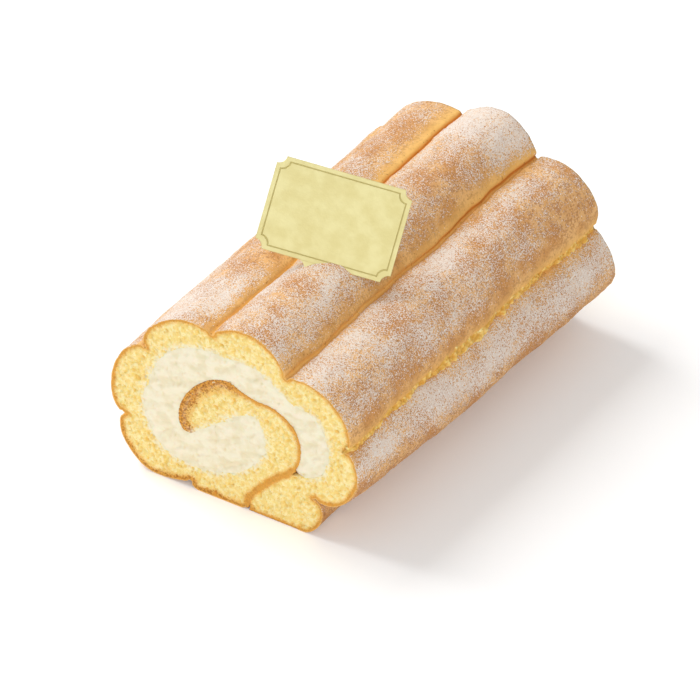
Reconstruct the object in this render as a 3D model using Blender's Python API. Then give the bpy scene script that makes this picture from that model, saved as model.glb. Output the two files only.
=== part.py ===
"""Swiss roll: a sheet of piped sponge rolled round whipped cream, with a plain gold card stuck in its top.

The roll lies along Y. Its cut face looks along -Y, +X is to the right of that face and +Z is up.
The sheet's browned side is a row of lobes, each an arc between two creases.
The sheet starts inside as a hook, winds out round the cream and ends underneath, beside the seam.
"""

import math

import bmesh
import bpy
import numpy as np
from mathutils import Matrix, Vector

MM = 0.001

# The roll
ROLL_LENGTH = 162.0
STATIONS = 11  # cross-sections along the roll
GAP = 0.3  # between neighbouring pieces
CREAM_SET_BACK = 0.4  # the cream ends this far behind the cut faces
SEAM_GAP = 0.5  # between the sheet's outer end and the turn below it
LOBE_STEPS = 14  # segments round one lobe
CURVE_STEPS = 4  # segments between two guide points of a smooth curve

# Where the browned side of the sheet creases, (x, z) on the cut face
HOOK_START = (-20.5, 24.0)
INNER_CREASE_LEFT = (2.6, 50.6)
INNER_CREASE_RIGHT = (11.4, 48.3)
INNER_TURN_END = (26.4, 25.6)
SEAM = (5.9, 1.4)
CREASE_UNDER = (-17.9, 2.2)
CREASE_LOW_LEFT = (-46.9, 20.9)
CREASE_LEFT = (-36.7, 53.7)
CREASE_TOP = (-7.9, 70.8)
CREASE_RIGHT = (23.1, 64.0)
CREASE_TORN = (47.6, 42.2)
CREASE_LOW_RIGHT = (34.2, 16.4)
FOOT_CORNER = (27.0, 0.0)
SHEET_END = (7.0, 0.0)

# Outer lobes from the seam, clockwise: last crease, bulge in front, bulge at the back, and how
# steeply the lobe leaves its two creases (0.5 is an ellipse's end, 1 a parabola's)
OUTER_LOBES = (
    ("G", CREASE_UNDER, 3.4, 3.4, 0.6, 0.6),
    ("H", CREASE_LOW_LEFT, 11.6, 11.0, 1.2, 0.55),
    ("A", CREASE_LEFT, 8.8, 9.0, 0.55, 0.55),
    ("B", CREASE_TOP, 8.2, 7.6, 0.5, 0.95),
    ("C", CREASE_RIGHT, 8.9, 10.6, 0.95, 0.9),
    ("D", CREASE_TORN, 9.9, 10.6, 0.85, 0.5),
    ("E", CREASE_LOW_RIGHT, 11.0, 17.4, 0.6, 0.5),
    ("F", FOOT_CORNER, 6.4, 6.4, 0.5, 0.6),
)
WAVE_HEIGHT = 0.45  # how far a crease strays from a straight line
WAVE_LENGTH = 74.0

# The plain side of the sheet, which the cream lies on: a smooth curve through few points
OUTER_TURN_INSIDE = (
    (30.6, 23.6), (37.6, 28.4), (39.9, 38.3), (34.8, 50.4), (24.0, 53.4), (12.0, 61.2),
    (-2.8, 61.8), (-18.0, 60.2), (-29.9, 50.9), (-37.6, 32.4), (-34.6, 19.0), (-27.0, 11.8),
    (-12.2, 9.7), (2.4, 14.8), (11.2, 23.6), (13.7, 31.0), (9.6, 41.0), (0.6, 37.6),
    (-8.4, 30.4), (-15.2, 25.0),
)
# From the seam up to the inner turn, where the sheet's end lies against it
SEAM_LINE = (SEAM, (7.4, 6.4), (15.6, 15.9), (22.4, 21.8), INNER_TURN_END)

# The gold card
CARD_WIDTH = 47.6
CARD_HEIGHT = 32.6
CARD_THICKNESS = 0.6
CARD_CORNER = 2.6  # radius of the hollow cut from each corner
STEM_TOP_WIDTH = 19.0
STEM_WIDTH = 13.0
STEM_NECK = 3.2  # how far the stem takes to narrow
STEM_LENGTH = 15.0  # below the card's lower edge
STEM_TIP = 4.0
STEM_OFFSET = 1.3  # from the card's middle
CARD_MIDDLE = (3.8, -21.7, 91.0)
CARD_FACES = (33.2, 36.0)  # azimuth and elevation that its front looks at, degrees
CARD_TURN = 16.0  # clockwise in its own plane, degrees
POCKET_CLEARANCE = 0.35
CORNER_STEPS = 4

COLOURS = {
    "sponge": (0.85, 0.62, 0.22, 1.0),
    "cream": (0.95, 0.90, 0.74, 1.0),
    "gold_card": (0.80, 0.72, 0.36, 1.0),
}


def clear_scene():
    for thing in list(bpy.data.objects):
        bpy.data.objects.remove(thing, do_unlink=True)


def make_material(name, roughness, metallic=0.0):
    material = bpy.data.materials.new(name)
    material.use_nodes = True
    shader = material.node_tree.nodes["Principled BSDF"]
    shader.inputs["Base Color"].default_value = COLOURS[name]
    shader.inputs["Roughness"].default_value = roughness
    shader.inputs["Metallic"].default_value = metallic
    return material


def lobe(start, end, bulge, steep_start, steep_end):
    """Points of one lobe, from its first crease up to but not including its last.

    The bulge stands to the left of the way from start to end.
    """
    start = np.array(start)
    chord = np.array(end) - start
    outward = np.array((-chord[1], chord[0])) / np.hypot(*chord)
    points = []
    for step in range(LOBE_STEPS):
        turn = math.pi * step / LOBE_STEPS
        along = (1.0 - math.cos(turn)) / 2.0
        steep = steep_start if along < 0.5 else steep_end
        height = bulge * (1.0 - (2.0 * along - 1.0) ** 2) ** steep
        points.append(start + chord * along + outward * height)
    return points


def smooth_curve(guides):
    """Points of a Catmull-Rom curve through the guides, without its last point."""
    guides = [np.array(guide, float) for guide in guides]
    before = [guides[0] * 2 - guides[1]] + guides[:-1]
    after = guides[2:] + [guides[-1] * 2 - guides[-2]]
    points = []
    for a, b, c, d in zip(before, guides[:-1], guides[1:], after):
        for step in range(CURVE_STEPS):
            t = step / CURVE_STEPS
            points.append(
                b + t * (c - a) / 2
                + t * t * (a - 2.5 * b + 2 * c - d / 2)
                + t ** 3 * (1.5 * b - 1.5 * c + (d - a) / 2)
            )
    return points


def strayed(crease, number, y):
    """A crease's place at y: it wanders a little to each side along the roll."""
    wave = WAVE_HEIGHT * math.sin(2 * math.pi * y / WAVE_LENGTH + 1.7 * number)
    return (crease[0] + wave, crease[1] - wave * crease[0] / 60.0)


def hook_and_inner_turn():
    """The browned side inside the roll, from the hook's tip to where the cream ends."""
    points = lobe(HOOK_START, INNER_CREASE_LEFT, 10.0, 0.5, 0.5)
    points += smooth_curve((INNER_CREASE_LEFT, (7.2, 49.2), INNER_CREASE_RIGHT))
    points += lobe(INNER_CREASE_RIGHT, INNER_TURN_END, 9.0, 0.75, 0.75)
    return points


def outer_side(y):
    """The browned side outside the roll, from the seam round to the sheet's end."""
    share = math.sqrt(0.5 + y / ROLL_LENGTH)  # a lobe fattens quickly behind the cut face
    points = []
    start = SEAM
    for number, (_, end, front, back, steep_start, steep_end) in enumerate(OUTER_LOBES):
        placed = end if end in (CREASE_UNDER, FOOT_CORNER) else strayed(end, number, y)
        bulge = front + (back - front) * share
        points += lobe(start, placed, bulge, steep_start, steep_end)
        start = placed
    points += [np.array(FOOT_CORNER), np.array(SHEET_END)]
    return [np.array((x, max(z, 0.0))) for x, z in points]


def sheet_end_side():
    """The plain side near the sheet's end, which leans on the seam line across SEAM_GAP."""
    line = smooth_curve(SEAM_LINE)[1:]
    points = []
    for before, here, after in zip(line, line[1:], line[2:]):
        along = (after - before) / np.hypot(*(after - before))
        points.append(here + SEAM_GAP * np.array((along[1], -along[0])))
    return points


def sponge_section(y):
    inside = smooth_curve(OUTER_TURN_INSIDE)
    tip = [np.array(OUTER_TURN_INSIDE[-1]), np.array((-17.6, 23.2))]
    seam = smooth_curve(SEAM_LINE)
    return hook_and_inner_turn() + seam[::-1][:-1] + outer_side(y) + sheet_end_side() + inside + tip


def cream_section():
    """The cream's outline: what the sheet encloses, set in by GAP all round."""
    hook = hook_and_inner_turn()
    tip = [np.array(OUTER_TURN_INSIDE[-1]), np.array((-17.6, 23.2))]
    outline = np.array(hook + smooth_curve(OUTER_TURN_INSIDE) + tip)
    before = np.roll(outline, 1, axis=0)
    after = np.roll(outline, -1, axis=0)
    along = after - before
    along /= np.hypot(along[:, 0], along[:, 1])[:, None]
    inward = np.stack((-along[:, 1], along[:, 0]), axis=1)
    return outline + GAP * inward


def loft(name, sections, places):
    """A closed solid through the sections, each an outline at its place along Y."""
    mesh = bmesh.new()
    rings = []
    for section, y in zip(sections, places):
        rings.append([mesh.verts.new((x * MM, y * MM, z * MM)) for x, z in section])
    for near, far in zip(rings, rings[1:]):
        for i in range(len(near)):
            j = (i + 1) % len(near)
            mesh.faces.new((near[i], near[j], far[j], far[i]))
    mesh.faces.new(rings[0][::-1])
    mesh.faces.new(rings[-1])
    bmesh.ops.recalc_face_normals(mesh, faces=mesh.faces)
    return finish_object(name, mesh)


def finish_object(name, mesh):
    data = bpy.data.meshes.new(name)
    mesh.to_mesh(data)
    mesh.free()
    thing = bpy.data.objects.new(name, data)
    bpy.context.scene.collection.objects.link(thing)
    return thing


def shade_round(thing, angle=40.0):
    thing.data.shade_smooth()
    thing.data.set_sharp_from_angle(angle=math.radians(angle))


def card_outline(grow=0.0):
    """The card's outline in its own plane with its stem, clockwise from the left edge's top."""
    half = CARD_WIDTH / 2 + grow
    top = CARD_HEIGHT / 2 + grow
    points = []
    for x, y, first in ((-half, top, 270), (half, top, 180), (half, -top, 90)):
        points += hollow_corner(x, y, first)
    points += stem_outline(grow)
    points += hollow_corner(-half, -top, 0)
    return points


def hollow_corner(x, y, first):
    """A quarter circle cut from the corner at (x, y), from the angle first on, in degrees."""
    points = []
    for step in range(CORNER_STEPS + 1):
        turn = math.radians(first + 90 * step / CORNER_STEPS)
        points.append((x + CARD_CORNER * math.cos(turn), y + CARD_CORNER * math.sin(turn)))
    return points


def stem_outline(grow):
    """The stem below the card's lower edge, from right to left: a neck, a blade and a blunt tip."""
    edge = -CARD_HEIGHT / 2
    right_side = []
    for step in range(CORNER_STEPS + 1):
        turn = math.radians(90 * step / CORNER_STEPS)
        out = (STEM_TOP_WIDTH - STEM_WIDTH) / 2 * (1 - math.sin(turn))
        right_side.append((STEM_WIDTH / 2 + out + grow, edge - STEM_NECK * (1 - math.cos(turn))))
    right_side.append((STEM_WIDTH / 2 + grow, edge - STEM_LENGTH + STEM_TIP))
    right_side.append((STEM_WIDTH / 8 + grow, edge - STEM_LENGTH - grow))
    left_side = [(-x, y) for x, y in reversed(right_side)]
    return [(STEM_OFFSET + x, y) for x, y in right_side + left_side]


def card_axes():
    """The card's own right, up and front."""
    azimuth = math.radians(CARD_FACES[0])
    elevation = math.radians(CARD_FACES[1])
    front = Vector((math.sin(azimuth) * math.cos(elevation), -math.cos(azimuth) * math.cos(elevation), 0))
    front.z = math.sin(elevation)
    level = Vector((math.cos(azimuth), math.sin(azimuth), 0))
    rise = front.cross(level)
    turn = math.radians(CARD_TURN)
    right = level * math.cos(turn) - rise * math.sin(turn)
    up = level * math.sin(turn) + rise * math.cos(turn)
    return right, up, front


def flat_piece(name, outline, thickness):
    """A flat solid of that outline and thickness, standing where the card stands."""
    right, up, front = card_axes()
    middle = Vector(CARD_MIDDLE)
    mesh = bmesh.new()
    corners = []
    for x, y in outline:
        place = middle + right * x + up * y - front * thickness / 2
        corners.append(mesh.verts.new(place * MM))
    back = mesh.faces.new(corners)
    made = bmesh.ops.extrude_face_region(mesh, geom=[back])
    moved = [part for part in made["geom"] if isinstance(part, bmesh.types.BMVert)]
    bmesh.ops.translate(mesh, verts=moved, vec=front * thickness * MM)
    bmesh.ops.recalc_face_normals(mesh, faces=mesh.faces)
    return finish_object(name, mesh)


def make_sponge():
    places = [ROLL_LENGTH * (i / (STATIONS - 1) - 0.5) for i in range(STATIONS)]
    sponge = loft("sponge", [sponge_section(y) for y in places], places)
    sponge.data.materials.append(make_material("sponge", 0.9))
    shade_round(sponge)
    return sponge


def make_cream():
    half = ROLL_LENGTH / 2 - CREAM_SET_BACK
    cream = loft("cream", [cream_section()] * 2, (-half, half))
    cream.data.materials.append(make_material("cream", 0.5))
    shade_round(cream)
    return cream


def make_card():
    card = flat_piece("gold_card", card_outline(), CARD_THICKNESS)
    card.data.materials.append(make_material("gold_card", 0.4, 0.6))
    return card


def cut_pocket(sponge):
    """The slit that the card's stem and lower edge have pushed into the sponge."""
    thickness = CARD_THICKNESS + 2 * POCKET_CLEARANCE
    cutter = flat_piece("card_cutter", card_outline(POCKET_CLEARANCE), thickness)
    cutter.hide_render = True
    cutter.display_type = "WIRE"
    cut = sponge.modifiers.new("card_slit", "BOOLEAN")
    cut.operation = "DIFFERENCE"
    cut.object = cutter
    return cutter


def centre_across(things):
    """Moves everything along X so that the roll's two sides are equally far from the origin."""
    across = [corner.co.x for thing in things for corner in thing.data.vertices]
    shift = -(min(across) + max(across)) / 2
    for thing in things:
        thing.data.transform(Matrix.Translation((shift, 0, 0)))


def main():
    clear_scene()
    sponge = make_sponge()
    cream = make_cream()
    card = make_card()
    cutter = cut_pocket(sponge)
    centre_across((sponge, cream, card, cutter))


main()
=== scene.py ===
import math
import random

import bpy
import numpy as np
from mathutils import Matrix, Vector, noise


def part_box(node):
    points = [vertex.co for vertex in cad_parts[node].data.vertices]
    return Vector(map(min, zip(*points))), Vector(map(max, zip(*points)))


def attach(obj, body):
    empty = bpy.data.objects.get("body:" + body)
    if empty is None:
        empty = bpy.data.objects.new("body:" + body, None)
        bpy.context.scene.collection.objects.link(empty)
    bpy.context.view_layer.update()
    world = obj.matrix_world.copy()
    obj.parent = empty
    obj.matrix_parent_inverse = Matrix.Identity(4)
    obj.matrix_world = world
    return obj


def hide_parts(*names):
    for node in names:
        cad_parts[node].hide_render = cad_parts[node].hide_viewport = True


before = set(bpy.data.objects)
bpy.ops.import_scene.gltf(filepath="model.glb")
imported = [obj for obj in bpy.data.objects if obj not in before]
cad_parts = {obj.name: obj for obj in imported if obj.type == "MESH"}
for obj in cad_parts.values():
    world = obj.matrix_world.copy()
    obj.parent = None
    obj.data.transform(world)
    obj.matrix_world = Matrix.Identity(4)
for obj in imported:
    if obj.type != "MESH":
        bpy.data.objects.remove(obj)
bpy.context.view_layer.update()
mm = 0.001
frontY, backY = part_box("sponge")[0].y / mm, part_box("sponge")[1].y / mm  # the two cut faces


def nothingSelected():
    if bpy.context.mode != "OBJECT":
        bpy.ops.object.mode_set(mode="OBJECT")
    bpy.ops.object.select_all(action="DESELECT")


def pickOnly(thing):
    nothingSelected()
    thing.select_set(True)
    bpy.context.view_layer.objects.active = thing


def pickFaces(thing, wanted):  # into edit mode with only those faces selected
    pickOnly(thing)
    bpy.ops.object.mode_set(mode="EDIT")
    bpy.ops.mesh.select_all(action="DESELECT")
    bpy.ops.mesh.select_mode(type="FACE")
    bpy.ops.object.mode_set(mode="OBJECT")
    thing.data.polygons.foreach_set("select", wanted)
    bpy.ops.object.mode_set(mode="EDIT")


def newGrid(name, across, along):  # a flat grid of that many faces, shaped afterwards
    nothingSelected()
    bpy.ops.mesh.primitive_grid_add(x_subdivisions=across, y_subdivisions=along, size=1)
    thing = bpy.context.object
    thing.name = name
    thing.data.name = name
    return thing


def pointsOf(thing):  # in millimetres
    flat = np.empty(len(thing.data.vertices) * 3, np.float32)
    thing.data.vertices.foreach_get("co", flat)
    return flat.reshape(-1, 3).astype(float) / mm


def placePoints(thing, points):
    thing.data.vertices.foreach_set("co", (np.asarray(points) * mm).astype(np.float32).ravel())
    thing.data.update()


def paintValue(thing, name, values):
    layer = thing.data.attributes.get(name) or thing.data.attributes.new(name, "FLOAT", "POINT")
    layer.data.foreach_set("value", np.asarray(values, np.float32))


def noiseAt(points, size, seed, octaves=2):
    shift = Vector((seed * 7.31, seed * 3.17, seed * 5.73))
    return np.array([noise.fractal(Vector(p) / size + shift, 1.0, 2.0, octaves) for p in points])


def smoothStep(low, high, value):
    t = np.clip((value - low) / (high - low), 0, 1)
    return t * t * (3 - 2 * t)


def closeUp(thing, smooth=True):  # welds, turns the faces outwards and shades
    pickOnly(thing)
    bpy.ops.object.mode_set(mode="EDIT")
    bpy.ops.mesh.select_all(action="SELECT")
    bpy.ops.mesh.remove_doubles(threshold=0.000002)
    bpy.ops.mesh.select_all(action="SELECT")
    bpy.ops.mesh.normals_make_consistent(inside=False)
    bpy.ops.object.mode_set(mode="OBJECT")
    if smooth:
        bpy.ops.object.shade_smooth()
    nothingSelected()


def extrudeBy(x, y, z):  # the selected faces, by millimetres
    bpy.ops.mesh.extrude_region_move(TRANSFORM_OT_translate={"value": (x * mm, y * mm, z * mm)})


def fillOpenEdges():  # in edit mode
    bpy.ops.mesh.select_all(action="DESELECT")
    bpy.ops.mesh.select_mode(type="EDGE")
    bpy.ops.mesh.select_non_manifold(extend=False, use_wire=False, use_multi_face=False,
                                     use_non_contiguous=False, use_verts=False)
    bpy.ops.mesh.edge_face_add()


def facingWay(azimuth, elevation):  # the direction that looks at the roll from those angles, outwards
    azimuth, elevation = math.radians(azimuth), math.radians(elevation)
    way = Vector((math.sin(azimuth) * math.cos(elevation), -math.cos(azimuth) * math.cos(elevation), 0))
    way.z = math.sin(elevation)
    return way


# The sheet's cross-section in millimetres, (x, z) on the cut face, as the CAD model has it
section = {
    "hookStart": (-20.5, 24.0),
    "innerCreaseLeft": (2.6, 50.6),
    "innerCreaseRight": (11.4, 48.3),
    "innerTurnEnd": (26.4, 25.6),
    "seam": ((5.9, 1.4), (7.4, 6.4), (15.6, 15.9), (22.4, 21.8), (26.4, 25.6)),
    "footCorner": (27.0, 0.0),
    "sheetEnd": (7.0, 0.0),
    "seamGap": 0.5,
    "wave": 0.45,
    "waveLength": 74.0,
    "inside": (
        (30.6, 23.6), (37.6, 28.4), (39.9, 38.3), (34.8, 50.4), (24.0, 53.4), (12.0, 61.2),
        (-2.8, 61.8), (-18.0, 60.2), (-29.9, 50.9), (-37.6, 32.4), (-34.6, 19.0), (-27.0, 11.8),
        (-12.2, 9.7), (2.4, 14.8), (11.2, 23.6), (13.7, 31.0), (9.6, 41.0), (0.6, 37.6),
        (-8.4, 30.4), (-15.2, 25.0),
    ),
    "hookTip": (-17.6, 23.2),
}
# Outer lobes from the seam, clockwise: last crease, bulge in front and at the back, how steeply it ends
lobes = {
    "G": ((-17.9, 2.2), 3.4, 3.4, 0.6, 0.6),
    "H": ((-46.9, 20.9), 11.6, 11.0, 1.2, 0.55),
    "A": ((-36.7, 53.7), 8.8, 9.0, 0.55, 0.55),
    "B": ((-7.9, 70.8), 8.2, 7.6, 0.5, 0.95),
    "C": ((23.1, 64.0), 8.9, 10.6, 0.95, 0.9),
    "D": ((47.6, 42.2), 9.9, 10.6, 0.85, 0.5),
    "E": ((34.2, 16.4), 11.0, 17.4, 0.6, 0.5),
    "F": ((27.0, 0.0), 6.4, 6.4, 0.5, 0.6),
}
lobeNames = list(lobes)


def lobeLine(start, end, bulge, steepFirst, steepLast, steps):
    start = np.array(start)
    chord = np.array(end) - start
    outward = np.array((-chord[1], chord[0])) / np.hypot(*chord)
    along = (1 - np.cos(np.pi * np.arange(steps) / steps)) / 2
    steep = np.where(along < 0.5, steepFirst, steepLast)
    height = bulge * (1 - (2 * along - 1) ** 2) ** steep
    return start + along[:, None] * chord + height[:, None] * outward


def curveLine(guides, steps):  # a smooth curve through the guides, without its last point
    guides = [np.array(guide, float) for guide in guides]
    before = [guides[0] * 2 - guides[1]] + guides[:-1]
    after = guides[2:] + [guides[-1] * 2 - guides[-2]]
    line = []
    for a, b, c, d in zip(before, guides[:-1], guides[1:], after):
        for t in np.arange(steps) / steps:
            line.append(
                b + t * (c - a) / 2 + t * t * (a - 2.5 * b + 2 * c - d / 2)
                + t ** 3 * (1.5 * b - 1.5 * c + (d - a) / 2)
            )
    return np.array(line)


def sideways(line):  # unit normals to the left of the way, on a closed line
    along = np.roll(line, -1, axis=0) - np.roll(line, 1, axis=0)
    along /= np.hypot(along[:, 0], along[:, 1])[:, None] + 1e-9
    return np.stack((-along[:, 1], along[:, 0]), axis=1)


def creaseAt(name, y):
    crease = lobes[name][0]
    if name in "GF":
        return crease
    number = lobeNames.index(name)
    wave = section["wave"] * math.sin(2 * math.pi * y / section["waveLength"] + 1.7 * number)
    wave += roll["creaseWander"] * noise.noise(Vector((y / 9, 5.1 * number, 0)))
    return (crease[0] + wave, crease[1] - wave * crease[0] / 60)


def hookLine(steps):
    return np.vstack((
        lobeLine(section["hookStart"], section["innerCreaseLeft"], 10.0, 0.5, 0.5, steps),
        curveLine((section["innerCreaseLeft"], (7.2, 49.2), section["innerCreaseRight"]), 3),
        lobeLine(section["innerCreaseRight"], section["innerTurnEnd"], 9.0, 0.75, 0.75, steps),
    ))


def outerLines(y):  # one line for each outer lobe
    share = math.sqrt((y - frontY) / (backY - frontY))  # a lobe fattens quickly behind the cut face
    start, lines = section["seam"][0], {}
    for name, (_, front, back, steepFirst, steepLast) in lobes.items():
        end = creaseAt(name, y)
        bulge = front + (back - front) * share
        lines[name] = lobeLine(start, end, bulge, steepFirst, steepLast, roll["stepsRound"][name])
        lines[name][:, 1] = np.maximum(lines[name][:, 1], 0)
        start = end
    return lines


roll = {
    "stations": 176,
    "stepsRound": {"G": 16, "H": 34, "A": 44, "B": 46, "C": 48, "D": 50, "E": 46, "F": 24},
    "creaseWander": 0.55,
    "creaseDepth": 0.9,
    "creaseWidth": 1.0,
    "swell": 0.42,  # slow rise and fall of the skin
    "dimple": 0.16,
    "grain": 0.07,
    "rimWidth": 0.3,
    "recess": 2.2,
}


def sheetSection(y):
    outer = outerLines(y)
    seam = curveLine(section["seam"], 3)
    gapSide = seam[1:-1] + section["seamGap"] * -sideways(seam)[1:-1]
    foot = np.array((section["footCorner"], (17.0, 0.0), section["sheetEnd"]))
    parts = [("hook", hookLine(16)), ("seam", seam[::-1][:-1])]
    parts += [(name, outer[name]) for name in lobeNames]
    parts += [("foot", foot), ("gap", gapSide), ("inside", curveLine(section["inside"], 4))]
    parts += [("tip", np.array((section["inside"][-1], section["hookTip"])))]
    return parts


def makeSheet():
    ys = np.linspace(frontY, backY, roll["stations"])
    labels = np.array([name for name, line in sheetSection(0) for _ in line])
    share = np.concatenate([np.arange(len(line)) / len(line) for _, line in sheetSection(0)])
    rings, normals, toCrease = [], [], []
    for y in ys:
        ring = np.vstack([line for _, line in sheetSection(y)])
        ring[:, 0] += acrossShift
        gaps = np.array([creaseAt(name, y) for name in "GHABCDE"]) + (acrossShift, 0)
        toCrease.append(np.hypot(*(ring[:, None] - gaps[None]).transpose(2, 0, 1)))
        rings.append(ring)
        normals.append(sideways(ring))
    rings = np.array(rings)
    normals = np.array(normals)
    toCrease = np.array(toCrease)
    isOuter = np.isin(labels, lobeNames)
    around = rings.shape[1]
    flat = np.zeros((len(ys), around, 3))
    flat[..., 0], flat[..., 2] = rings[..., 0], rings[..., 1]
    flat[..., 1] = ys[:, None]
    # skin relief along the normals, fading out where the roll rests
    spots = flat[:, isOuter].reshape(-1, 3)
    relief = roll["swell"] * noiseAt(spots * (1, 0.6, 1), 11, 1, 2)
    relief += roll["dimple"] * noiseAt(spots, 2.6, 2, 2)
    relief += roll["grain"] * noiseAt(spots, 1.1, 3, 2)
    relief *= smoothStep(0.0, 3.0, spots[:, 2])
    lift = np.zeros((len(ys), around))
    lift[:, isOuter] = relief.reshape(len(ys), -1)
    nearest = toCrease.min(axis=2)
    lift -= np.where(isOuter, roll["creaseDepth"] * np.exp(-(nearest / roll["creaseWidth"]) ** 2), 0)
    flat[..., 0] += lift * normals[..., 0]
    flat[..., 2] = np.maximum(flat[..., 2] + lift * normals[..., 1], 0)

    hidden = ~isOuter  # these sides stay behind the crumb and the cream at the cut faces
    flat[:, hidden, 1] = np.clip(flat[:, hidden, 1], frontY + 1.7, backY - 1.7)

    def endRings(ring, y, inwards):  # a narrow rim, then a recess that the crumb fills
        rim = ring.copy()
        normal = sideways(ring[:, (0, 2)])
        rim[:, (0, 2)] -= roll["rimWidth"] * normal
        rim[:, 1] = np.where(hidden, y + inwards * 1.8, y + inwards * 0.05)
        deep = rim.copy()
        deep[:, 1] = y + inwards * roll["recess"]
        return [deep, rim]

    frontRings = endRings(flat[0], frontY, 1)
    backRings = endRings(flat[-1], backY, -1)[::-1]
    allRings = np.array(frontRings + list(flat) + backRings)
    count = len(allRings)
    sheet = newGrid("spongeSkin", around, count - 1)
    columns = np.concatenate((allRings, allRings[:, :1]), axis=1)  # the last column closes the loop
    placePoints(sheet, columns.reshape(-1, 3))
    up = np.zeros((count, around + 1))
    up[2:-2, :around] = normals[..., 1]
    values = {"sugar": np.zeros_like(up), "golden": np.zeros_like(up), "torn": np.zeros_like(up)}
    sugar, golden, torn = skinMasks(flat, normals, labels, share, toCrease, isOuter)
    for name, mask in (("sugar", sugar), ("golden", golden), ("torn", torn)):
        values[name][2:-2, :around] = mask
        values[name][1, :around], values[name][-2, :around] = mask[0], mask[-1]
        if name == "golden":  # the cut edge of the crust
            values[name][:2], values[name][-2:] = 0.95, 0.95
            for row in (2, -3):
                values[name][row] = np.maximum(values[name][row], 0.5)
        if name == "sugar":
            values[name][:2], values[name][-2:] = 0, 0
        values[name][:, around] = values[name][:, 0]
        paintValue(sheet, name, values[name].ravel())
    pickOnly(sheet)
    bpy.ops.object.mode_set(mode="EDIT")
    bpy.ops.mesh.select_all(action="SELECT")
    bpy.ops.mesh.remove_doubles(threshold=0.000002)
    fillOpenEdges()
    bpy.ops.object.mode_set(mode="OBJECT")
    closeUp(sheet)
    return sheet, flat, normals, labels, sugar


# Where the sugar lies thicker or thinner: lobe, place along the roll, half length, change
sugarDrifts = (
    ("C", -74, 14, 0.04), ("C", -40, 26, 0.02), ("C", 30, 26, -0.12), ("C", 72, 18, 0.30),
    ("D", -66, 18, 0.06), ("D", -20, 40, 0.00), ("D", 62, 26, -0.16),
    ("B", -68, 18, 0.20), ("B", -28, 16, -0.20), ("B", 55, 30, -0.05),
    ("E", -62, 18, 0.10), ("E", -10, 40, 0.14), ("E", 66, 24, 0.02), ("A", -40, 60, 0.15),
)


def skinMasks(flat, normals, labels, share, toCrease, isOuter):
    up = normals[..., 1]
    ys = flat[:, 0, 1]
    patches = np.zeros(up.shape)
    spots = flat[:, isOuter].reshape(-1, 3) * (1, 0.55, 1)
    uneven = 0.22 * noiseAt(spots, 13, 11, 2) + 0.12 * noiseAt(spots, 4.5, 12, 2)
    patches[:, isOuter] = uneven.reshape(len(ys), -1)
    sugar = smoothStep(-0.55, 0.45, up) * 0.50 + patches
    for name, place, half, change in sugarDrifts:
        sugar[:, labels == name] += change * np.exp(-((ys - place) / half) ** 2)[:, None]
    # thick where each lobe starts below its crease, clear where it drops into the next one
    sugar += np.where(np.isin(labels, list("CDE")), 0.16 * np.exp(-((share - 0.22) / 0.16) ** 2), 0)
    nearest = toCrease.min(axis=2)
    secondHalf = isOuter & (share > 0.5)
    leaving = np.where(secondHalf, 1.0, 0.35) * (0.45 + 0.55 * smoothStep(-30, 55, ys))[:, None]
    golden = leaving * (0.8 * np.exp(-(nearest / 4.0) ** 2) + 0.25 * np.exp(-(nearest / 9.0) ** 2))
    # the narrow peak on the crease line itself pushes the skin material into its dark red painted shade
    # deep in the crease
    golden += 0.6 * np.exp(-(nearest / 0.7) ** 2)
    torn = np.exp(-(toCrease[..., 5] / 4.0) ** 2) * np.where(labels == "D", 0.8, 0.15)
    sugar -= 0.60 * golden + 0.4 * torn
    sugar -= np.where(secondHalf, 0.25 * np.exp(-(nearest / 4.0) ** 2), 0)
    sugar[:, labels == "D"] -= 0.22 * smoothStep(0.6, 0.85, share[labels == "D"])
    sugar = np.where(isOuter, np.clip(sugar, 0, 0.85), 0)
    return sugar, golden, np.clip(torn, 0, 1)


coarse = [np.vstack([line for _, line in sheetSection(y)]) for y in np.linspace(frontY, backY, 11)]
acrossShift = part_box("sponge")[0].x / mm - min(ring[:, 0].min() for ring in coarse)

spongeSkin, skinPoints, skinNormals, skinLabels, skinSugar = makeSheet()
print("sponge skin", len(spongeSkin.data.polygons))


def insideOf(points, outline):  # even-odd test
    inside = np.zeros(len(points), bool)
    x, z = points[:, 0], points[:, 1]
    for (x1, z1), (x2, z2) in zip(outline, np.roll(outline, -1, axis=0)):
        if z1 == z2:
            continue
        crosses = (z1 > z) != (z2 > z)
        inside ^= crosses & (x < (x2 - x1) * (z - z1) / (z2 - z1) + x1)
    return inside


def toLine(points, line, closed=False):  # distance to a line, and the nearest point on it
    ends = np.roll(line, -1, axis=0) if closed else line[1:]
    starts = line if closed else line[:-1]
    best = np.full(len(points), 1e9)
    spot = np.zeros((len(points), 2))
    for a, b in zip(starts, ends):
        way = b - a
        t = np.clip(((points - a) @ way) / max(way @ way, 1e-9), 0, 1)
        there = a + t[:, None] * way
        gap = np.hypot(*(points - there).T)
        closer = gap < best
        best[closer] = gap[closer]
        spot[closer] = there[closer]
    return best, spot


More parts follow.
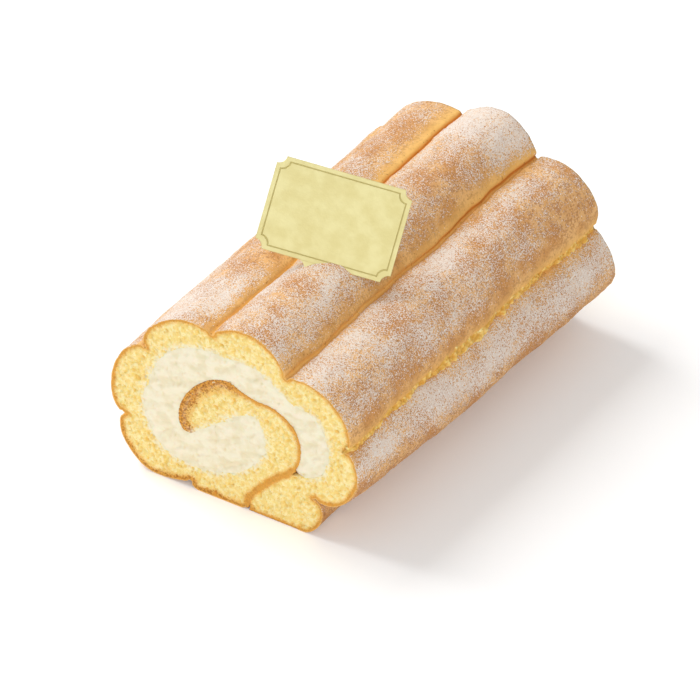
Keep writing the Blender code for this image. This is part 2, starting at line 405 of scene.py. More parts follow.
def cutShape(name, cell, y, keep, edgeOf):
    # a grid standing on the cut face, without the faces outside the shape, its edge drawn onto the outline
    width, height = 108.0, 84.0
    across, up = round(width / cell), round(height / cell)
    thing = newGrid(name, across, up)
    points = pointsOf(thing)
    spots = np.stack((points[:, 0] * mm * width, points[:, 1] * mm * height + height / 2 - 2), axis=1)
    placePoints(thing, np.stack((spots[:, 0], np.full(len(spots), y), spots[:, 1]), axis=1))
    cornerIds = np.array([tuple(face.vertices) for face in thing.data.polygons])
    middles = spots[cornerIds].mean(axis=1)
    kept = keep(middles)
    columns = np.round((middles[:, 0] + width / 2) / cell - 0.5).astype(int)
    rows = np.round((middles[:, 1] + 2) / cell - 0.5).astype(int)
    mask = np.zeros((across + 2, up + 2), bool)
    mask[columns, rows] = kept
    for _ in range(6):  # two faces never meet at one corner only
        a, b, c, d = mask[:-1, :-1], mask[1:, :-1], mask[:-1, 1:], mask[1:, 1:]
        touch = (a & d & ~b & ~c) | (b & c & ~a & ~d)
        if not touch.any():
            break
        mask[:-1, :-1] |= touch
        mask[1:, :-1] |= touch
    kept = mask[columns, rows]
    pickFaces(thing, ~kept)
    bpy.ops.mesh.delete(type="FACE")
    bpy.ops.object.mode_set(mode="OBJECT")
    pairs = np.sort(np.array([e for face in thing.data.polygons for e in face.edge_keys]), axis=1)
    keys, counts = np.unique(pairs, axis=0, return_counts=True)
    rim = np.unique(keys[counts == 1])
    points = pointsOf(thing)
    points[rim[:, None], (0, 2)] = edgeOf(points[rim][:, (0, 2)])
    placePoints(thing, points)
    return thing


def runThrough(thing, relief):  # to the far cut face, and a relief on both ends
    pickOnly(thing)
    bpy.ops.object.mode_set(mode="EDIT")
    bpy.ops.mesh.select_all(action="SELECT")
    extrudeBy(0, backY - frontY, 0)
    bpy.ops.object.mode_set(mode="OBJECT")
    points = pointsOf(thing)
    atFront = points[:, 1] < 0
    values = {}
    for end, side, sign in ((atFront, 0, 1), (~atFront, 1, -1)):
        depth, painted = relief(points[end][:, (0, 2)], side)
        points[end, 1] += sign * depth
        for key, value in painted.items():
            values.setdefault(key, np.zeros(len(points)))[end] = value
    placePoints(thing, points)
    for key, value in values.items():
        paintValue(thing, key, value)
    closeUp(thing)


crumb = {
    "cell": 0.36,
    "edgeFall": 0.25,  # how far the crumb drops where it meets the cream
    "edgeNoise": 0.9,  # how raggedly it ends there
    "poreCounts": ((1.2, 260, 0.85), (0.8, 1000, 0.7), (0.5, 3600, 0.5)),  # radius, how many, depth
    "roughness": 0.30,
}
creamShape = {"cell": 0.42, "grow": 1.5, "setBack": 0.42}

seamLine = curveLine(section["seam"], 6) + (acrossShift, 0)
hookOutline = hookLine(24) + (acrossShift, 0)
insideLine = curveLine(section["inside"], 6) + (acrossShift, 0)
tipLine = np.array((section["inside"][-1], section["hookTip"])) + (acrossShift, 0)
creamOutline = np.vstack((hookOutline, insideLine, tipLine))
isLobe = np.isin(skinLabels, lobeNames + ["foot"])


def intoSheet(points):  # how far the points lie from the cream, negative inside it, with a ragged border
    gap = toLine(points, creamOutline, closed=True)[0]
    gap = np.where(insideOf(points, creamOutline), -gap, gap)
    flat = np.column_stack((points[:, 0], np.zeros(len(points)), points[:, 1]))
    onHook = np.exp(-(toLine(points, hookOutline)[0] / 1.5) ** 2)
    ragged = crumb["edgeNoise"] * noiseAt(flat, 3.6, 23, 2) + 0.22 * noiseAt(flat, 1.3, 24, 1)
    return gap - ragged * (1 - 0.85 * onHook)


def crumbRegion(points, ring):
    nearSeam = toLine(points, seamLine)[0] < 0.75
    sheet = insideOf(points, ring)
    open = toLine(points, creamOutline, closed=True)[0] < 3
    gap = np.ones(len(points))
    gap[open] = intoSheet(points[open])
    within = sheet | (open & insideOf(points, creamOutline))
    return (within & (gap > 0)) | (nearSeam & (points[:, 1] > 0.6))


def crumbEdge(points, ring):
    points = points.copy()
    gap, spot = toLine(points, ring - 0.18 * sideways(ring), closed=True)
    toCream = toLine(points, creamOutline, closed=True)[0]
    atSeam = toLine(points, seamLine)[0] < 0.9
    atCream = (toCream < 1.8) & (toCream < gap) & ~atSeam
    outer = (gap < crumb["cell"] * 1.6) & ~atCream & ~atSeam
    points[outer] = spot[outer]
    for _ in range(5):  # slide onto the ragged border
        here = points[atCream]
        step = 0.08
        value = intoSheet(here)
        slope = np.stack((intoSheet(here + (step, 0)) - value, intoSheet(here + (0, step)) - value), axis=1)
        slope /= step
        move = -0.7 * value[:, None] * slope / np.maximum((slope ** 2).sum(axis=1), 0.3)[:, None]
        points[atCream] = here + np.clip(move, -0.16, 0.16)
    return points


def poresOver(points, side):
    pick = random.Random(40 + side)
    cell = 0.6
    depth = np.zeros(len(points))
    low = points.min(axis=0)
    boxes = {}
    for i, (x, z) in enumerate(((points - low) / cell).astype(int)):
        boxes.setdefault((x, z), []).append(i)
    high = points.max(axis=0)
    for radius, count, deep in crumb["poreCounts"]:
        for _ in range(count):
            middle = np.array((pick.uniform(low[0], high[0]), pick.uniform(low[1], high[1])))
            size = radius * pick.uniform(0.55, 1.25)
            stretch = pick.uniform(0.5, 0.95)
            turn = pick.uniform(0, math.pi)
            bx, bz = ((middle - low) / cell).astype(int)
            reach = int(size / cell) + 1
            near = []
            for x in range(bx - reach, bx + reach + 1):
                for z in range(bz - reach, bz + reach + 1):
                    near += boxes.get((x, z), [])
            if not near:
                continue
            away = points[near] - middle
            u = away[:, 0] * math.cos(turn) + away[:, 1] * math.sin(turn)
            v = (away[:, 1] * math.cos(turn) - away[:, 0] * math.sin(turn)) / stretch
            fall = np.clip(1 - (u * u + v * v) / size ** 2, 0, 1)
            depth[near] = np.maximum(depth[near], deep * pick.uniform(0.5, 1.2) * np.sqrt(fall))
    return depth


def crumbRelief(points, ring, side):
    toBrown, _ = toLine(points, np.vstack((ring[isLobe][::-1], seamLine, hookOutline[::-1])))
    toCream, _ = toLine(points, creamOutline, closed=True)
    toSeam, _ = toLine(points, seamLine)
    solid = np.column_stack((points[:, 0], np.full(len(points), side * 50.0), points[:, 1]))
    rough = crumb["roughness"] * noiseAt(solid, 1.3, 21, 3) + 0.25 * noiseAt(solid, 6, 22, 2)
    pores = poresOver(points, side) * smoothStep(0.15, 1.2, toBrown) * smoothStep(0.2, 1.4, toCream)
    nearCream = np.exp(-(toCream / 0.8) ** 2)
    onHook = np.exp(-(toLine(points, hookOutline)[0] / 2.5) ** 2)
    fall = crumb["edgeFall"] * nearCream * (1 - onHook) + 0.7 * np.exp(-(toSeam / 0.35) ** 2)
    depth = 0.22 + np.clip(rough, -0.3, 0.6) * (1 - 0.7 * nearCream) + pores + fall
    depth = np.where((toBrown < 0.45) & (toCream > 1), depth * 0.4, depth)
    # the baked band is thick round the start of the hook, and along the bottom lobes
    hookStart = smoothStep(7, -4, points[:, 0] - acrossShift) * (toLine(points, hookOutline)[0] < 6)
    bottom = smoothStep(26, 8, points[:, 1]) * smoothStep(10, -10, points[:, 0])
    values = {
        "skinDepth": toBrown / (1 + 2.0 * hookStart + 0.35 * bottom),
        # how deep the pores sink, which the crumb material turns into painted shade in the pores
        "pore": np.clip(pores / 0.8, 0, 1),
        "baked": np.clip(0.20 + 0.8 * hookStart + 0.6 * bottom, 0, 1),
        "creamy": np.exp(-(toCream / 1.9) ** 2) * smoothStep(1.0, 3.0, toBrown),
    }
    return np.clip(depth, 0.09, 2.2), values, toBrown


def makeCrumbEnd(side):  # a slab of crumb in the recess of the skin
    end, inwards = ((frontY, 1), (backY, -1))[side]
    ring = skinPoints[-side][:, (0, 2)]
    thing = cutShape("spongeCrumb", crumb["cell"], end,
                     lambda points: crumbRegion(points, ring), lambda points: crumbEdge(points, ring))
    pickOnly(thing)
    bpy.ops.object.mode_set(mode="EDIT")
    bpy.ops.mesh.select_all(action="SELECT")
    extrudeBy(0, inwards * 3, 0)
    bpy.ops.object.mode_set(mode="OBJECT")
    points = pointsOf(thing)
    inner = np.abs(points[:, 1] - end) > 1
    depth, values, toBrown = crumbRelief(points[:, (0, 2)], ring, side)
    behind = 0.5 + 2.3 * smoothStep(0.1, 1.5, toBrown)
    points[:, 1] = end + inwards * np.where(inner, behind, depth)
    placePoints(thing, points)
    for key, value in values.items():
        paintValue(thing, key, value)
    pickFaces(thing, [bool(inner[list(face.vertices)].all()) for face in thing.data.polygons])
    bpy.ops.mesh.decimate(ratio=0.08)  # the hidden side needs few faces
    bpy.ops.object.mode_set(mode="OBJECT")
    closeUp(thing)
    return thing


spongeCrumb, farCrumb = makeCrumbEnd(0), makeCrumbEnd(1)
pickOnly(spongeCrumb)
farCrumb.select_set(True)
bpy.ops.object.join()
print("sponge crumb", len(spongeCrumb.data.polygons))


def creamRegion(points):
    inside = insideOf(points, creamOutline)
    return inside | (toLine(points, creamOutline, closed=True)[0] < creamShape["grow"])


def creamRelief(points, side):
    solid = np.column_stack((points[:, 0], np.full(len(points), side * 50.0), points[:, 1]))
    drawn = np.column_stack((points @ (0.94, 0.34), solid[:, 1], points @ (-0.34, 0.94) * 2.2))
    smears = noiseAt(drawn, 6.5, 31, 2)
    lumps = noiseAt(solid, 2.4, 32, 2)
    holes = np.clip(noiseAt(solid, 1.2, 33, 2) - 0.38, 0, 1)
    inside = toLine(points, creamOutline, closed=True)[0]
    inside *= np.where(insideOf(points, creamOutline), 1, -1)
    bulge = -0.30 * smoothStep(0, 4, inside)
    depth = creamShape["setBack"] + bulge + (0.8 * smears + 0.3 * lumps) * smoothStep(-0.5, 2.5, inside)
    # the holes sink the surface, and the same value darkens them in the cream material as painted shade
    depth += 1.1 * holes + 0.6 * smoothStep(-0.1, -1.0, inside)
    return np.clip(depth, 0.02, 2.0), {"smear": smears * 0.5 + 0.5, "hole": np.clip(holes * 4, 0, 1)}


creamBody = cutShape("creamFilling", creamShape["cell"], frontY, creamRegion, lambda p: p)
runThrough(creamBody, creamRelief)
print("cream", len(creamBody.data.polygons))


# The torn crease between two lobes, where yellow crumb shows
tear = {"across": 18, "step": 0.34, "onD": 4.3, "onE": 2.7, "ragged": 0.6, "sink": 0.55, "thickness": 1.2}


def makeTear():
    ys = np.arange(frontY + 0.6, backY - 0.5, tear["step"])
    rows = np.interp(ys, skinPoints[:, 0, 1], np.arange(len(skinPoints)))
    base, part = np.floor(rows).astype(int), (rows % 1)[:, None, None]
    base = np.minimum(base, len(skinPoints) - 2)
    rings = skinPoints[base] * (1 - part) + skinPoints[base + 1] * part
    onD, onE = rings[:, skinLabels == "D"], rings[:, skinLabels == "E"]
    corner = onE[:, 0]
    along = np.stack((ys, ys * 0, ys * 0), axis=1)
    width = 0.72 + 0.3 * noiseAt(along, 14, 51) + 0.28 * np.exp(-((ys + 5) / 45) ** 2)
    wideD, wideE = width + 0.5 * noiseAt(along, 3, 54), width + 0.5 * noiseAt(along, 3, 55)
    reachD, reachE = tear["onD"] * wideD, tear["onE"] * wideE
    first = np.array([tearSide(line[::-1], c, reach) for line, c, reach in zip(onD, corner, reachD)])
    last = np.array([tearSide(line, c, reach) for line, c, reach in zip(onE, corner, reachE)])
    u = np.linspace(0, 1, tear["across"] + 1)[None, :, None]
    spots = first[:, None] * (1 - u) + last[:, None] * u
    outward = np.array((1.0, 0.0, 0.25)) / math.hypot(1, 0.25)
    flat = spots.reshape(-1, 3)
    lumps = tear["ragged"] * noiseAt(flat, 1.8, 52, 2) + 0.35 * noiseAt(flat, 0.8, 53, 2)
    lumps = lumps.reshape(len(ys), -1)
    edge = np.abs(2 * u[..., 0] - 1) ** 4
    height = lumps * (1 - 0.6 * edge) - tear["sink"] * edge
    spots += height[..., None] * outward
    strip = newGrid("tornCrumb", tear["across"], len(ys) - 1)
    placePoints(strip, spots.reshape(-1, 3))
    # the pore value, the lower skin depth and the ochre value all darken the low spots of the strip:
    # painted shade in its hollows
    paintValue(strip, "pore", np.clip(1.0 - 1.3 * lumps - 0.5 * edge, 0, 1.1).ravel())
    paintValue(strip, "skinDepth", (1.3 + 1.4 * edge + 1.2 * lumps).ravel())
    paintValue(strip, "hollowShadeOchre", (0.8 * smoothStep(0.35, -0.25, lumps) * (1 - edge)).ravel())
    pickOnly(strip)
    bpy.ops.object.mode_set(mode="EDIT")
    bpy.ops.mesh.select_all(action="SELECT")
    extrudeBy(-tear["thickness"], 0, 0)
    bpy.ops.object.mode_set(mode="OBJECT")
    closeUp(strip)
    return strip


def tearSide(line, corner, reach):  # the point of the line at that distance from the crease
    gap = np.hypot(line[:, 0] - corner[0], line[:, 2] - corner[2])
    order = np.argsort(gap[:20])
    return np.array([np.interp(reach, gap[order], line[order, axis]) for axis in range(3)])


tornCrumb = makeTear()
print("torn crease", len(tornCrumb.data.polygons))

# The gold card with its stem, in its own plane first
card = {
    "width": 49.2, "height": 33.6, "thickness": 0.6, "hollow": 3.0,
    "middle": (4.4, -22.6, 89.6), "azimuth": 33.2, "elevation": 36.0, "turn": 16.0,
    "stemTop": 19.0, "stemWidth": 13.0, "stemNeck": 3.2,
    "stemLength": 14.0, "stemTip": 4.0, "stemAside": 1.3,
    # how far in from the edge, and how high: bevel, rim, pressed line, panel
    "levels": ((0, 0), (0, 0.5), (0.12, 0.6), (1.5, 0.6),
               (1.6, 0.42), (1.85, 0.42), (2.0, 0.57), (2.6, 0.57)),
}


def cardOutline(inset):
    half, top = card["width"] / 2 - inset, card["height"] / 2 - inset
    line = []
    for x, y, first in ((-half, top, 270), (half, top, 180), (half, -top, 90), (-half, -top, 0)):
        for step in range(9):
            turn = math.radians(first + 90 * step / 8)
            line.append((x + card["hollow"] * math.cos(turn), y + card["hollow"] * math.sin(turn)))
        if first == 90:
            line.append((card["stemAside"] + card["stemTop"] / 2, -top))
            line.append((card["stemAside"] - card["stemTop"] / 2, -top))
    return line[::-1]


def makeCard():
    outline = cardOutline(0)
    thing = newGrid("goldCard", len(outline), len(card["levels"]) - 1)
    rings = [[(x, y, z) for x, y in cardOutline(inset)] for inset, z in card["levels"]]
    placePoints(thing, np.array([ring + ring[:1] for ring in rings]).reshape(-1, 3))
    bpy.ops.object.mode_set(mode="EDIT")
    bpy.ops.mesh.select_all(action="SELECT")
    bpy.ops.mesh.remove_doubles(threshold=0.000002)
    fillOpenEdges()
    bpy.ops.mesh.select_all(action="SELECT")
    bpy.ops.mesh.normals_make_consistent(inside=False)
    bpy.ops.mesh.select_all(action="DESELECT")
    bpy.ops.object.mode_set(mode="OBJECT")
    # the stem grows from the middle of the lower edge
    stemFaces = []
    for face in thing.data.polygons:
        wide = abs(face.area / mm / mm - card["stemTop"] * 0.5) < 0.2
        low = abs(face.center.y / mm + card["height"] / 2) < 0.05
        stemFaces.append(wide and low and abs(face.center.x / mm - card["stemAside"]) < 1)
    pickFaces(thing, stemFaces)
    middle = (card["stemAside"] * mm, 0, 0)
    done, width = 0.0, card["stemTop"]
    for step in range(1, 7):
        turn = math.radians(15 * step)
        drop = card["stemNeck"] * (1 - math.cos(turn))
        narrow = card["stemWidth"] + (card["stemTop"] - card["stemWidth"]) * (1 - math.sin(turn))
        extrudeBy(0, done - drop, 0)
        bpy.ops.transform.resize(value=(narrow / width, 1, 1), center_override=middle)
        done, width = drop, narrow
    for drop, narrow in ((card["stemLength"] - card["stemTip"], card["stemWidth"]),
                         (card["stemLength"], card["stemWidth"] / 4)):
        extrudeBy(0, done - drop, 0)
        bpy.ops.transform.resize(value=(narrow / width, 1, 1), center_override=middle)
        done, width = drop, narrow
    bpy.ops.object.mode_set(mode="OBJECT")
    print("card stem from", sum(stemFaces), "face")
    front = facingWay(card["azimuth"], card["elevation"])
    azimuth = math.radians(card["azimuth"])
    level = Vector((math.cos(azimuth), math.sin(azimuth), 0))
    rise = front.cross(level)
    turn = math.radians(card["turn"])
    right = level * math.cos(turn) - rise * math.sin(turn)
    up = level * math.sin(turn) + rise * math.cos(turn)
    points = pointsOf(thing)
    # the sunk pressed line, which the foil material darkens as painted shade in the groove
    paintValue(thing, "pressedLineShade", np.abs(points[:, 2] - 0.42) < 0.05)
    middle = Vector(card["middle"]) + Vector((acrossShift, 0, 0)) - front * card["thickness"] / 2
    placed = np.array(middle) + points[:, :1] * np.array(right) + points[:, 1:2] * np.array(up)
    placed += points[:, 2:3] * np.array(front)
    placePoints(thing, placed)
    closeUp(thing, smooth=False)
    return thing


goldCard = makeCard()
print("card", len(goldCard.data.polygons))

# Fine sugar: small flattened grains on the skin, thickest where the sugar mask is high
sugarGrains = {"count": 22000, "smallest": 0.16, "largest": 0.52, "seed": 7}


def makeSugar():
    pick = np.random.default_rng(sugarGrains["seed"])
    outer = np.isin(skinLabels, lobeNames)
    rows, columns = skinPoints.shape[0] - 1, int(outer.sum()) - 1
    first = int(np.argmax(outer))
    spots, ways, made = [], [], 0
    while made < sugarGrains["count"]:
        r = pick.integers(0, rows, 60000)
        c = pick.integers(0, columns, 60000) + first
        u, v = pick.random(60000)[:, None], pick.random(60000)[:, None]
        a, b = skinPoints[r, c], skinPoints[r, c + 1]
        d, e = skinPoints[r + 1, c], skinPoints[r + 1, c + 1]
        size = np.linalg.norm(b - a, axis=1)
        amount = skinSugar[r, c] ** 1.4 * (a[:, 2] > 1.5)
        keep = pick.random(60000) < amount * size / 1.6
        spot = (a * (1 - u) + b * u) * (1 - v) + (d * (1 - u) + e * u) * v
        spots.append(spot[keep])
        flat = skinNormals[r, c]
        ways.append(np.stack((flat[:, 0], np.zeros(len(flat)), flat[:, 1]), axis=1)[keep])
        made += int(keep.sum())
    spots, ways = np.vstack(spots)[:sugarGrains["count"]], np.vstack(ways)[:sugarGrains["count"]]
    count = len(spots)
    shape = np.array(((1, 0, 0), (0, 1, 0), (-1, 0, 0), (0, -1, 0), (0, 0, 1), (0, 0, -1)), float)
    spread = sugarGrains["largest"] - sugarGrains["smallest"]
    sizes = sugarGrains["smallest"] + spread * pick.random(count) ** 2.2
    axes = np.tile(np.array((0.0, 1.0, 0.0)), (count, 1))
    sides = np.cross(axes, ways)
    spin = pick.random(count) * 2 * np.pi
    first = axes * np.cos(spin)[:, None] + sides * np.sin(spin)[:, None]
    second = np.cross(ways, first)
    jitter = pick.uniform(0.6, 1.25, (count, 6, 3))
    corners = shape[None] * jitter * sizes[:, None, None] * (0.5, 0.5, 0.32)
    grains = (spots[:, None] + corners[..., :1] * first[:, None] + corners[..., 1:2] * second[:, None]
              + corners[..., 2:] * ways[:, None])
    top = [(i, (i + 1) % 4, 4) for i in range(4)]
    bottom = [((i + 1) % 4, i, 5) for i in range(4)]
    faces = (np.arange(count)[:, None, None] * 6 + np.array(top + bottom)[None]).reshape(-1, 3)
    mesh = bpy.data.meshes.new("sugarGrains")
    mesh.from_pydata((grains.reshape(-1, 3) * mm).tolist(), [], faces.tolist())
    thing = bpy.data.objects.new("sugarGrains", mesh)
    bpy.context.scene.collection.objects.link(thing)
    return thing


grains = makeSugar()
print("sugar", len(grains.data.polygons))


# Materials

def addNode(tree, kind, **settings):
    node = tree.nodes.new(kind)
    for key, value in settings.items():
        if key in node.inputs:
            node.inputs[key].default_value = value
        else:
            setattr(node, key, value)
    return node


def fade(tree, value, low, high):  # 0 below low, 1 above high
    node = addNode(tree, "ShaderNodeMapRange", interpolation_type="SMOOTHSTEP")
    node.inputs["From Min"].default_value = low
    node.inputs["From Max"].default_value = high
    tree.links.new(value, node.inputs["Value"])
    return node.outputs["Result"]


def blend(tree, factor, first, second, kind="MIX"):
    node = addNode(tree, "ShaderNodeMix", data_type="RGBA", blend_type=kind)
    for socket, value in zip((node.inputs["Factor"], *node.inputs[6:8]), (factor, first, second)):
        if isinstance(value, (tuple, float, int)):
            socket.default_value = (*value, 1) if isinstance(value, tuple) else value
        else:
            tree.links.new(value, socket)
    return node.outputs[2]


def sums(tree, operation, first, second=0.0):
    node = addNode(tree, "ShaderNodeMath", operation=operation)
    for socket, value in zip(node.inputs, (first, second)):
        if isinstance(value, (float, int)):
            socket.default_value = value
        else:
            tree.links.new(value, socket)
    return node.outputs[0]


def scaled(tree, value, amount):
    return sums(tree, "MULTIPLY", value, amount)


def aroundZero(tree, spots, amount):  # spots that lie round a half, moved round zero
    return scaled(tree, sums(tree, "SUBTRACT", spots, 0.5), amount)


def turnedOver(tree, value):
    return sums(tree, "SUBTRACT", 1.0, value)


def spotsGroup():  # soft spots of a size in millimetres, in object space
    group = bpy.data.node_groups.new("softSpots", "ShaderNodeTree")
    for name, value in (("Size mm", 1.0), ("Detail", 2.0), ("Seed", 0.0)):
        socket = group.interface.new_socket(name, in_out="INPUT", socket_type="NodeSocketFloat")
        socket.default_value = value
    group.interface.new_socket("Spots", in_out="OUTPUT", socket_type="NodeSocketFloat")
    given = group.nodes.new("NodeGroupInput")
    place = group.nodes.new("ShaderNodeTexCoord")
    shift = group.nodes.new("ShaderNodeCombineXYZ")
    moved = group.nodes.new("ShaderNodeVectorMath")
    moved.operation = "ADD"
    fineness = group.nodes.new("ShaderNodeMath")
    fineness.operation = "DIVIDE"
    fineness.inputs[0].default_value = 1 / mm
    spots = group.nodes.new("ShaderNodeTexNoise")
    for axis in "XYZ":
        group.links.new(given.outputs["Seed"], shift.inputs[axis])
    group.links.new(place.outputs["Object"], moved.inputs[0])
    group.links.new(shift.outputs["Vector"], moved.inputs[1])
    group.links.new(given.outputs["Size mm"], fineness.inputs[1])
    group.links.new(moved.outputs["Vector"], spots.inputs["Vector"])
    group.links.new(fineness.outputs["Value"], spots.inputs["Scale"])
    group.links.new(given.outputs["Detail"], spots.inputs["Detail"])
    group.links.new(spots.outputs["Fac"], group.nodes.new("NodeGroupOutput").inputs["Spots"])
    return group


softSpots = spotsGroup()


def speckle(tree, size, detail=2.0, seed=0.0):
    node = tree.nodes.new("ShaderNodeGroup")
    node.node_tree = softSpots
    node.inputs["Size mm"].default_value = size
    node.inputs["Detail"].default_value = detail
    node.inputs["Seed"].default_value = seed
    return node.outputs["Spots"]


def painted(tree, name):
    return addNode(tree, "ShaderNodeAttribute", attribute_name=name).outputs["Fac"]


def newMaterial(name, roughness):
    material = bpy.data.materials.new(name)
    material.use_nodes = True
    shader = material.node_tree.nodes["Principled BSDF"]
    shader.inputs["Roughness"].default_value = roughness
    return material, material.node_tree, shader


def bump(tree, shader, height, strength, distance):
    node = addNode(tree, "ShaderNodeBump", Strength=strength, Distance=distance * mm)
    tree.links.new(height, node.inputs["Height"])
    tree.links.new(node.outputs["Normal"], shader.inputs["Normal"])


tones = {
    "crumb": (0.90, 0.68, 0.23), "crumbPale": (0.94, 0.80, 0.40), "poreShadeGold": (0.84, 0.55, 0.10),
    "poreDeepShade": (0.70, 0.38, 0.06), "crustGold": (0.82, 0.47, 0.10), "crustEdge": (0.73, 0.34, 0.045),
    "darkCrustAndPitShade": (0.42, 0.16, 0.015), "cream": (0.80, 0.71, 0.49), "creamPale": (0.86, 0.79, 0.60),
    "skinTan": (0.59, 0.27, 0.08), "skinPale": (0.76, 0.43, 0.17), "skinBrown": (0.42, 0.17, 0.05),
    "skinGold": (0.93, 0.56, 0.15), "creaseShadeRed": (0.62, 0.22, 0.025), "tornGold": (0.88, 0.48, 0.10),
    "sugar": (0.80, 0.71, 0.63), "gold": (0.60, 0.53, 0.23), "goldPale": (0.66, 0.60, 0.29),
    "pressedLineShade": (0.44, 0.36, 0.11), "hollowShadeOchre": (0.66, 0.34, 0.04), "grain": (0.80, 0.76, 0.72),
    "grainPale": (0.90, 0.88, 0.86), "creamHoleShade": (0.84, 0.66, 0.34),
}


def crumbMaterial():
    material, tree, shader = newMaterial("spongeCrumb", 0.75)
    fine, middle, wide = speckle(tree, 0.55, 2), speckle(tree, 1.3, 2, 3), speckle(tree, 5, 2, 5)
    base = blend(tree, fade(tree, middle, 0.38, 0.66), tones["crumb"], tones["crumbPale"])
    # painted shade: small golden dots for pores too small for the mesh, then darker gold where the carved
    # pores sink deepest
    small = fade(tree, speckle(tree, 0.8, 1, 7), 0.56, 0.70)
    base = blend(tree, scaled(tree, small, 0.6), base, tones["poreShadeGold"])
    pore = painted(tree, "pore")
    base = blend(tree, scaled(tree, fade(tree, pore, 0.2, 0.9), 0.7), base, tones["poreShadeGold"])
    base = blend(tree, scaled(tree, fade(tree, pore, 0.75, 1.1), 0.4), base, tones["poreDeepShade"])
    wobble = sums(tree, "ADD", aroundZero(tree, fine, 1.6), aroundZero(tree, wide, 1.5))
    depth = sums(tree, "ADD", painted(tree, "skinDepth"), wobble)
    base = blend(tree, turnedOver(tree, fade(tree, depth, 0.7, 2.7)), base, tones["crustGold"])
    base = blend(tree, turnedOver(tree, fade(tree, depth, 0.6, 1.5)), base, tones["crustEdge"])
    dots = fade(tree, speckle(tree, 0.9, 2, 6), 0.45, 0.56)
    dots = scaled(tree, dots, turnedOver(tree, fade(tree, depth, 0.9, 1.6)))
    base = blend(tree, scaled(tree, dots, painted(tree, "baked")), base, tones["darkCrustAndPitShade"])
    smears = fade(tree, sums(tree, "ADD", middle, wide), 0.8, 1.2)
    base = blend(tree, scaled(tree, painted(tree, "creamy"), smears), base, tones["creamPale"])
    # painted shade: darker ochre in the hollows of the torn strip
    base = blend(tree, painted(tree, "hollowShadeOchre"), base, tones["hollowShadeOchre"])  # only the torn crease has it
    tree.links.new(base, shader.inputs["Base Color"])
    shader.inputs["Subsurface Weight"].default_value = 0.10
    shader.inputs["Subsurface Scale"].default_value = 0.0015
    bump(tree, shader, speckle(tree, 0.5, 3, 5), 0.6, 0.3)
    return material


def creamMaterial():
    material, tree, shader = newMaterial("whippedCream", 0.45)
    # the darker cream tone follows the smears, which also sink the surface deepest: painted shade in the
    # smear troughs, with a random tone change from the spots
    tone = sums(tree, "ADD", speckle(tree, 3.5, 3, 2), scaled(tree, painted(tree, "smear"), 0.5))
    base = blend(tree, fade(tree, tone, 0.6, 0.95), tones["creamPale"], tones["cream"])
    # painted shade: a darker yellow tone in the holes that sink into the cream
    base = blend(tree, scaled(tree, painted(tree, "hole"), 0.35), base, tones["creamHoleShade"])
    tree.links.new(base, shader.inputs["Base Color"])
    rough = addNode(tree, "ShaderNodeMapRange")
    rough.inputs["To Min"].default_value, rough.inputs["To Max"].default_value = 0.40, 0.65
    tree.links.new(speckle(tree, 3, 2, 8), rough.inputs["Value"])
    tree.links.new(rough.outputs["Result"], shader.inputs["Roughness"])
    shader.inputs["Subsurface Weight"].default_value = 0.15
    shader.inputs["Subsurface Scale"].default_value = 0.002
    bump(tree, shader, speckle(tree, 1.1, 3, 6), 0.35, 0.25)
    return material


def skinMaterial():
    material, tree, shader = newMaterial("bakedSkin", 0.8)
    fine, middle, wide = speckle(tree, 0.8, 3), speckle(tree, 2.4, 3, 1), speckle(tree, 11, 2, 2)
    base = blend(tree, fade(tree, wide, 0.38, 0.62), tones["skinTan"], tones["skinPale"])
    brown = sums(tree, "ADD", scaled(tree, fine, 0.6), scaled(tree, middle, 0.4))
    base = blend(tree, scaled(tree, fade(tree, brown, 0.46, 0.58), 0.75), base, tones["skinBrown"])
    golden = painted(tree, "golden")
    base = blend(tree, scaled(tree, golden, 0.9), base, tones["skinGold"])
    # painted shade: a dark red-brown line deep in each crease, where the lobes fold together
    base = blend(tree, fade(tree, golden, 0.8, 1.5), base, tones["creaseShadeRed"])
    base = blend(tree, painted(tree, "torn"), base, tones["tornGold"])
    amount = sums(tree, "ADD", painted(tree, "sugar"), aroundZero(tree, middle, 0.5))
    level = sums(tree, "ADD", speckle(tree, 0.46, 2, 4), scaled(tree, amount, 0.42))
    white = fade(tree, level, 0.70, 0.79)
    base = blend(tree, scaled(tree, white, 0.88), base, tones["sugar"])
    # painted shade: dark pinholes where the bump sinks small pits into the skin
    pin = fade(tree, speckle(tree, 1.1, 1, 9), 0.67, 0.73)
    base = blend(tree, scaled(tree, pin, 0.6), base, tones["darkCrustAndPitShade"])
    tree.links.new(base, shader.inputs["Base Color"])
    height = sums(tree, "ADD", scaled(tree, fine, 1.3), scaled(tree, white, 0.5))
    bump(tree, shader, sums(tree, "SUBTRACT", height, pin), 0.55, 0.25)
    return material


def sugarMaterial():
    material, tree, shader = newMaterial("fineSugar", 0.6)
    base = blend(tree, speckle(tree, 1.2, 2), tones["grain"], tones["grainPale"])
    tree.links.new(base, shader.inputs["Base Color"])
    return material


def goldMaterial():
    material, tree, shader = newMaterial("paleGoldFoil", 0.42)
    base = blend(tree, fade(tree, speckle(tree, 6, 2), 0.3, 0.7), tones["gold"], tones["goldPale"])
    # painted shade: the sunk pressed line is darker
    base = blend(tree, scaled(tree, painted(tree, "pressedLineShade"), 0.85), base, tones["pressedLineShade"])
    tree.links.new(base, shader.inputs["Base Color"])
    shader.inputs["Metallic"].default_value = 0.35
    bump(tree, shader, speckle(tree, 1.2, 3, 7), 0.35, 0.2)
    return material


def dress(thing, material, node):
    thing.data.materials.clear()
    thing.data.materials.append(material)
    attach(thing, "root")
    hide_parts(node)


crumbLook = crumbMaterial()
dress(spongeSkin, skinMaterial(), "sponge")
dress(spongeCrumb, crumbLook, "sponge")
dress(tornCrumb, crumbLook, "sponge")
dress(creamBody, creamMaterial(), "cream")
dress(goldCard, goldMaterial(), "gold_card")
dress(grains, sugarMaterial(), "sponge")
print("materials")


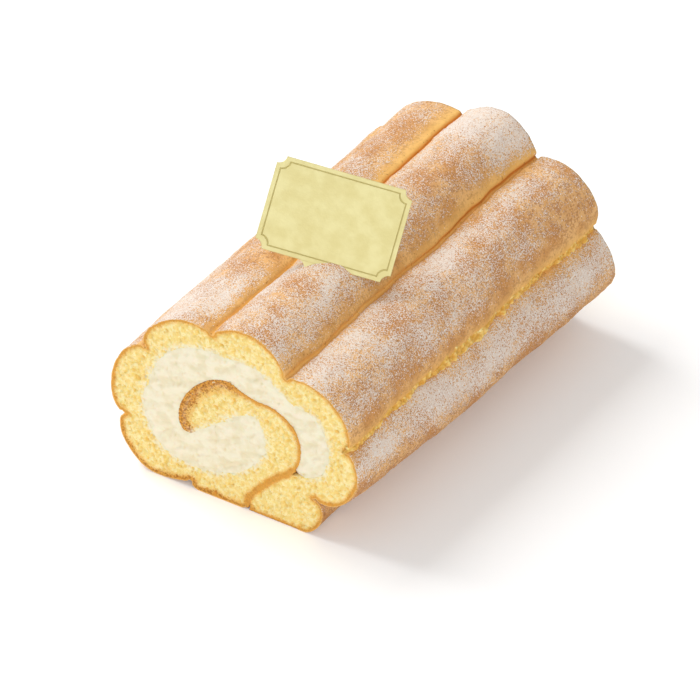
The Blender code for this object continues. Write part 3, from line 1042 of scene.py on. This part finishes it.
# Floor, light and camera
studio = {
    "aim": (0.01286, -0.0292, 0.0415), "azimuth": 33.2, "elevation": 36.0, "distance": 3.08, "lens": 450,
    "floorTone": (0.93, 0.925, 0.92), "floorLift": 0.10, "worldTone": 0.52,
    "key": {"place": (-0.9, 0.05, 1.05), "size": 0.8, "watts": 14.5},
    "fill": {"place": (0.8, -1.15, 0.75), "size": 1.1, "watts": 9.5},
}


def makeFloor():
    nothingSelected()
    bpy.ops.mesh.primitive_plane_add(size=8, location=(0, 0, 0))
    floor = bpy.context.object
    floor.name = "floor"
    material, tree, shader = newMaterial("paleFloor", 0.9)
    shader.inputs["Base Color"].default_value = (*studio["floorTone"], 1)
    shader.inputs["Emission Color"].default_value = (1, 1, 1, 1)
    # the lift shows to the camera only, so the floor throws no extra light on the roll
    seen = tree.nodes.new("ShaderNodeLightPath").outputs["Is Camera Ray"]
    tree.links.new(scaled(tree, seen, studio["floorLift"]), shader.inputs["Emission Strength"])
    floor.data.materials.append(material)


def makeLamp(name, facts):
    data = bpy.data.lights.new(name, "AREA")
    data.energy, data.size = facts["watts"], facts["size"]
    lamp = bpy.data.objects.new(name, data)
    lamp.location = facts["place"]
    lamp.rotation_euler = (Vector((0, 0, 0.04)) - lamp.location).to_track_quat("-Z", "Y").to_euler()
    bpy.context.scene.collection.objects.link(lamp)


def makeCamera():
    back = facingWay(studio["azimuth"], studio["elevation"])
    camera = bpy.data.objects.new("camera", bpy.data.cameras.new("camera"))
    camera.data.lens = studio["lens"]
    camera.location = Vector(studio["aim"]) + back * studio["distance"]
    camera.rotation_euler = back.to_track_quat("Z", "Y").to_euler()
    camera.data.clip_end = 20
    bpy.context.scene.collection.objects.link(camera)
    bpy.context.scene.camera = camera


makeFloor()
makeLamp("key", studio["key"])
makeLamp("fill", studio["fill"])
world = bpy.data.worlds.new("world")
world.use_nodes = True
world.node_tree.nodes["Background"].inputs["Color"].default_value = (1, 1, 1, 1)
world.node_tree.nodes["Background"].inputs["Strength"].default_value = studio["worldTone"]
bpy.context.scene.world = world
bpy.context.scene.view_settings.view_transform = "Standard"
makeCamera()
nothingSelected()
print("studio")
